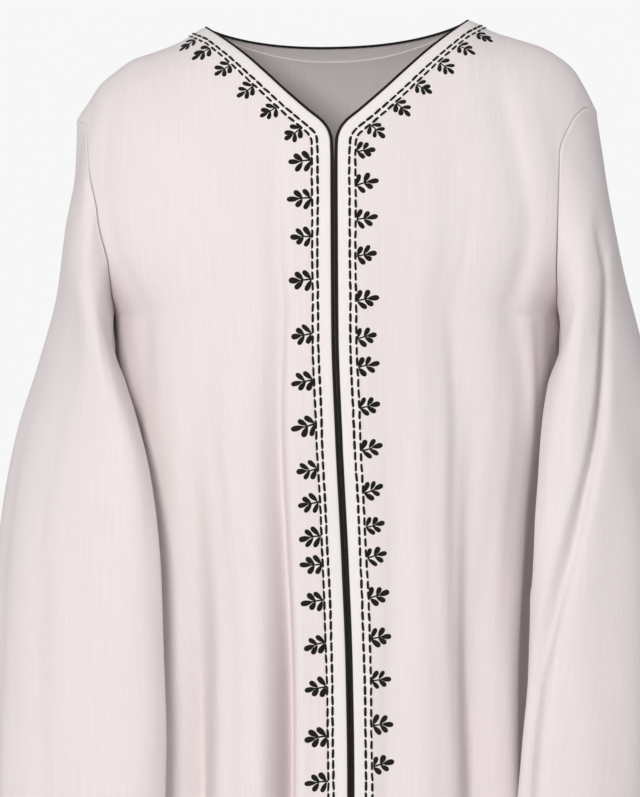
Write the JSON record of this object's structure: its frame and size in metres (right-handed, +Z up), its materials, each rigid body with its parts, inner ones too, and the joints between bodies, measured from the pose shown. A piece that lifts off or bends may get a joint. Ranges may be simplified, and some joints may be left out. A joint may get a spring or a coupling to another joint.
{
  "type": "abaya",
  "caption": "Long off-white open-front abaya, worn shape, with wide sleeves and a flat band with black piped edge round the V neck and down the front.",
  "frame": {"origin": "midway between the two shoulder-neck points, at the level where the wearer's shoulders carry the cloth", "axes": "+Z up, the front faces -Y, +X is the wearer's left"},
  "size_m": [0.604, 0.3901, 1.4036],
  "materials": {
    "crepe": "matt off-white crepe with a faint vertical slub and a soft blush cast",
    "band": "smoother off-white plain weave, pressed flat",
    "thread": "black twisted embroidery cotton and corded piping, low sheen"
  },
  "bodies": {
    "root": {"front_right": "crepe", "front_left": "crepe", "back": "crepe", "sleeve_right": "crepe", "sleeve_left": "crepe", "band_right": "band", "band_left": "band", "band_back_neck": "band", "piping_right": "thread", "piping_left": "thread", "piping_back_neck": "thread"}
  },
  "joints": []
}
